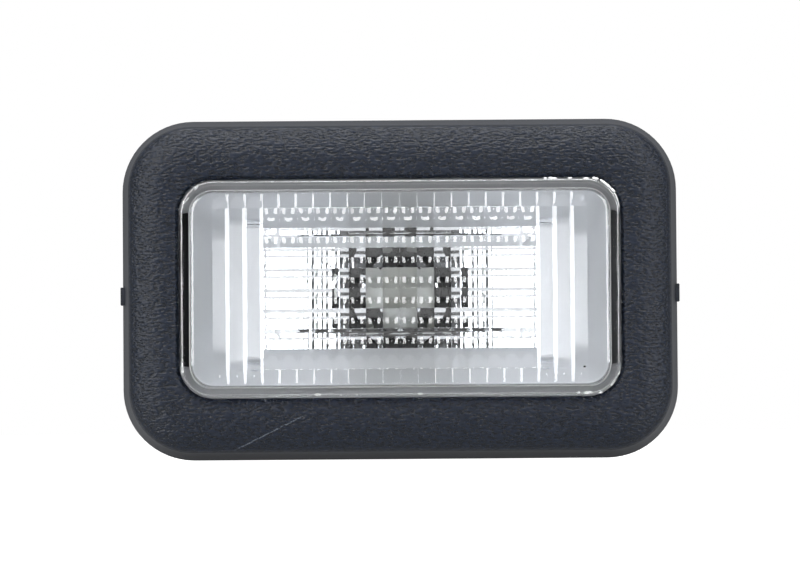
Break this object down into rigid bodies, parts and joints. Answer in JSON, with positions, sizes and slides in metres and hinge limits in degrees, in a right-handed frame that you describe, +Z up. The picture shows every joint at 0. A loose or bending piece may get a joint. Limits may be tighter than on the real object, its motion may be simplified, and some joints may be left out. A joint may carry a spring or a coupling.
{
  "type": "door light",
  "caption": "Rectangular door light: black grained surround, clear pillow-optic lens over a bright reflector and wedge bulb, spring clips for a panel cut-out.",
  "frame": {"origin": "centre of the surround's back rim, on the door panel's surface", "axes": "+X along the lamp to the right as seen from the front, +Y into the door, +Z up; the lens faces -Y"},
  "size_m": [0.093, 0.0468, 0.0564],
  "materials": {
    "surround_plastic": "fine moulded grain",
    "lens_acrylic": "clear, polished",
    "reflector_metal": "vacuum metallised",
    "housing_plastic": "plain moulded",
    "holder_plastic": "plain moulded",
    "screw_steel": "zinc plated",
    "spring_steel": "bare spring temper",
    "contact_brass": "bright",
    "bulb_glass": "clear",
    "lead_wire": "drawn",
    "tungsten": "coiled"
  },
  "bodies": {
    "root": {"bezel": "surround_plastic", "lens": "lens_acrylic", "reflector": "reflector_metal", "housing": "housing_plastic", "housing_screws": "screw_steel", "bulb_glass": "bulb_glass", "bulb_filament": "tungsten", "bulb_lead_wires": "lead_wire", "bulb_holder": "holder_plastic", "contact_left": "contact_brass", "contact_right": "contact_brass", "retaining_clip_left": "spring_steel", "retaining_clip_right": "spring_steel"}
  },
  "joints": []
}
